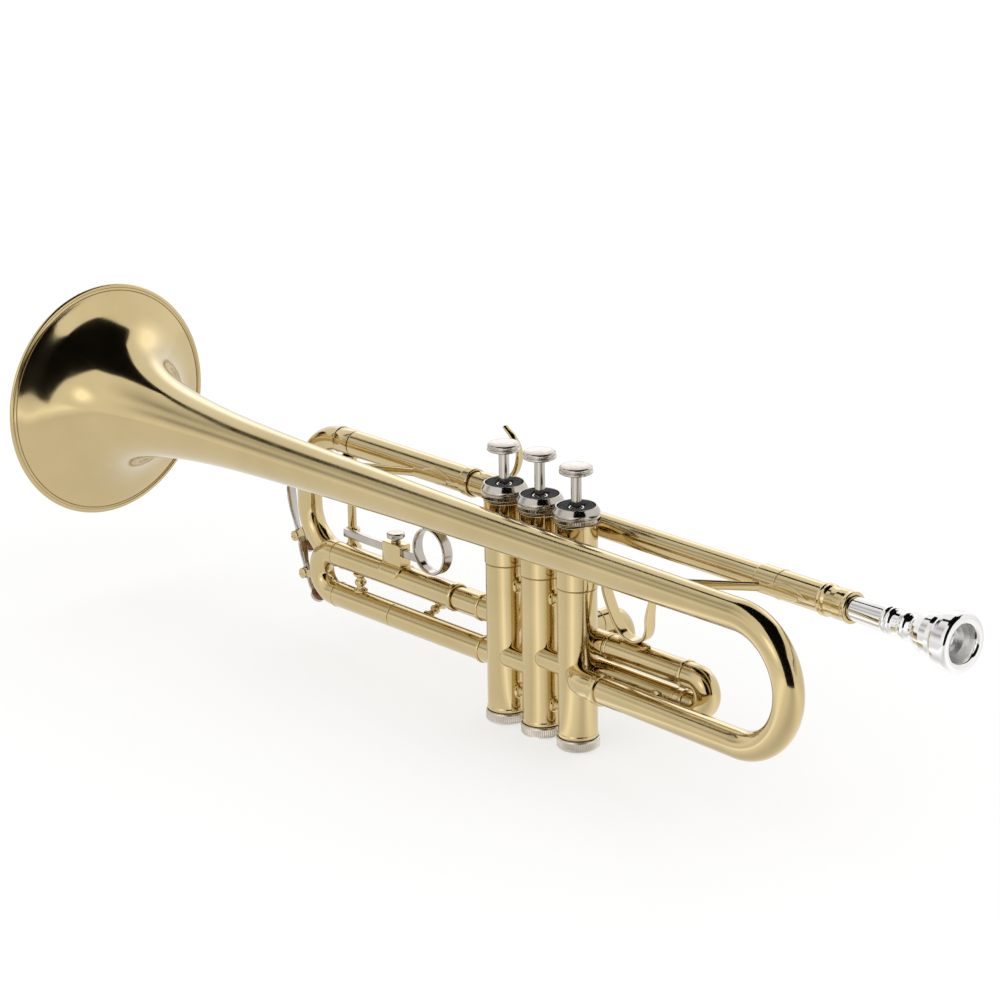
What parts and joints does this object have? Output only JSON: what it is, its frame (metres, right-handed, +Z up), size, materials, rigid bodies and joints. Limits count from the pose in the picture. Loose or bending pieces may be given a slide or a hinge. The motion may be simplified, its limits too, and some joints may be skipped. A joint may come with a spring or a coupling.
{
  "type": "trumpet",
  "caption": "Piston-valve trumpet with a flared bell, sprung valves, movable tuning and valve slides, water keys, finger hooks and a removable cup mouthpiece.",
  "frame": {"origin": "on the second valve's axis, 60 mm above the undersides of the bottom caps, about where the left hand grips the casings", "axes": "+X toward the mouthpiece, -X out of the bell, +Y toward the leadpipe and the second slide, -Y the bell's side, +Z up toward the valve buttons"},
  "size_m": [0.5639, 0.1399, 0.1641],
  "materials": {
    "lacquer": "clear-lacquered yellow brass, mirror polished",
    "nickel": "bright nickel plate",
    "silver": "polished silver plate",
    "steel": "plain drawn steel or nickel alloy",
    "felt": "black felt",
    "cork": "matt reddish-brown cork",
    "nylon": "off-white nylon"
  },
  "bodies": {
    "horn": {"valve_1_casing": "lacquer", "valve_1_bottom_cap": "nickel", "valve_1_top_cap": "nickel", "valve_1_felt": "felt", "valve_1_guide": "nylon", "valve_1_spring": "steel", "valve_2_casing": "lacquer", "valve_2_bottom_cap": "nickel", "valve_2_top_cap": "nickel", "valve_2_felt": "felt", "valve_2_guide": "nylon", "valve_2_spring": "steel", "valve_3_casing": "lacquer", "valve_3_bottom_cap": "nickel", "valve_3_top_cap": "nickel", "valve_3_felt": "felt", "valve_3_guide": "nylon", "valve_3_spring": "steel", "crossover_tube_1_2": "lacquer", "crossover_tube_2_3": "lacquer", "bell": "lacquer", "bell_rim_wire": "lacquer", "bell_tail_knuckle": "lacquer", "leadpipe": "lacquer", "mouthpiece_receiver": "lacquer", "tuning_upper_outer_tube": "lacquer", "tuning_lower_outer_tube": "lacquer", "third_slide_inner_tube": "lacquer", "third_slide_outer_tube": "lacquer", "first_slide_inner_tube": "lacquer", "first_slide_outer_tube": "lacquer", "pinky_hook": "lacquer", "front_brace": "lacquer", "rear_brace": "lacquer"},
    "valve_1_press": {"valve_1_piston": "steel", "valve_1_stem": "nickel", "valve_1_button": "nickel"},
    "valve_2_press": {"valve_2_piston": "steel", "valve_2_stem": "nickel", "valve_2_button": "nickel"},
    "valve_3_press": {"valve_3_piston": "steel", "valve_3_stem": "nickel", "valve_3_button": "nickel"},
    "tuning_slide_body": {"tuning_slide": "lacquer", "tuning_slide_brace": "lacquer", "tuning_water_key_saddle": "lacquer"},
    "tuning_key_body": {"tuning_water_key": "nickel", "tuning_water_key_cork": "cork"},
    "third_slide_body": {"third_slide": "lacquer", "ring_block": "lacquer", "third_water_key_saddle": "lacquer"},
    "third_key_body": {"third_water_key": "nickel", "third_water_key_cork": "cork"},
    "ring_rod_body": {"ring_rod": "nickel"},
    "thumbscrew_body": {"ring_thumbscrew": "nickel"},
    "first_slide_body": {"first_slide": "lacquer", "first_slide_hook": "lacquer"},
    "second_slide_body": {"second_slide": "lacquer"},
    "mouthpiece_body": {"mouthpiece": "silver"}
  },
  "joints": [
    {"name": "valve_1_press", "type": "slide", "parent": "horn", "child": "valve_1_press", "axis": [0, 0, -1], "range_m": [0, 0.0145], "stiffness_N_per_m": 100, "springref_m": -0.02, "deforming": ["valve_1_spring"]},
    {"name": "valve_2_press", "type": "slide", "parent": "horn", "child": "valve_2_press", "axis": [0, 0, -1], "range_m": [0, 0.0145], "stiffness_N_per_m": 100, "springref_m": -0.02, "deforming": ["valve_2_spring"]},
    {"name": "valve_3_press", "type": "slide", "parent": "horn", "child": "valve_3_press", "axis": [0, 0, -1], "range_m": [0, 0.0145], "stiffness_N_per_m": 100, "springref_m": -0.02, "deforming": ["valve_3_spring"]},
    {"name": "tuning_slide_travel", "type": "slide", "parent": "horn", "child": "tuning_slide_body", "axis": [-1, 0, 0], "range_m": [0, 0.05]},
    {"name": "third_slide_travel", "type": "slide", "parent": "horn", "child": "third_slide_body", "axis": [-1, 0, 0], "range_m": [0, 0.035]},
    {"name": "first_slide_travel", "type": "slide", "parent": "horn", "child": "first_slide_body", "axis": [1, 0, 0], "range_m": [0, 0.02]},
    {"name": "second_slide_travel", "type": "slide", "parent": "horn", "child": "second_slide_body", "axis": [0, 1, 0], "range_m": [0, 0.01]},
    {"name": "ring_rod_travel", "type": "slide", "parent": "third_slide_body", "child": "ring_rod_body", "axis": [1, 0, 0], "range_m": [-0.006, 0.02]},
    {"name": "thumbscrew_turn", "type": "hinge", "parent": "third_slide_body", "child": "thumbscrew_body", "pos_m": [-0.1058, 0, 0.0125], "axis": [0, 0, 1], "continuous": true},
    {"name": "tuning_water_key_turn", "type": "hinge", "parent": "tuning_slide_body", "child": "tuning_key_body", "pos_m": [-0.2046, 0.0184, -0.0144], "axis": [0, 1, 0], "range_deg": [0, 16], "stiffness_Nm_per_rad": 0.03, "springref_deg": -34.38},
    {"name": "third_water_key_turn", "type": "hinge", "parent": "third_slide_body", "child": "third_key_body", "pos_m": [-0.1756, 0, -0.023], "axis": [0, 1, 0], "range_deg": [0, 20], "stiffness_Nm_per_rad": 0.03, "springref_deg": -34.38},
    {"name": "mouthpiece_pull", "type": "slide", "parent": "horn", "child": "mouthpiece_body", "axis": [1, 0, 0], "range_m": [0, 0.026]}
  ]
}
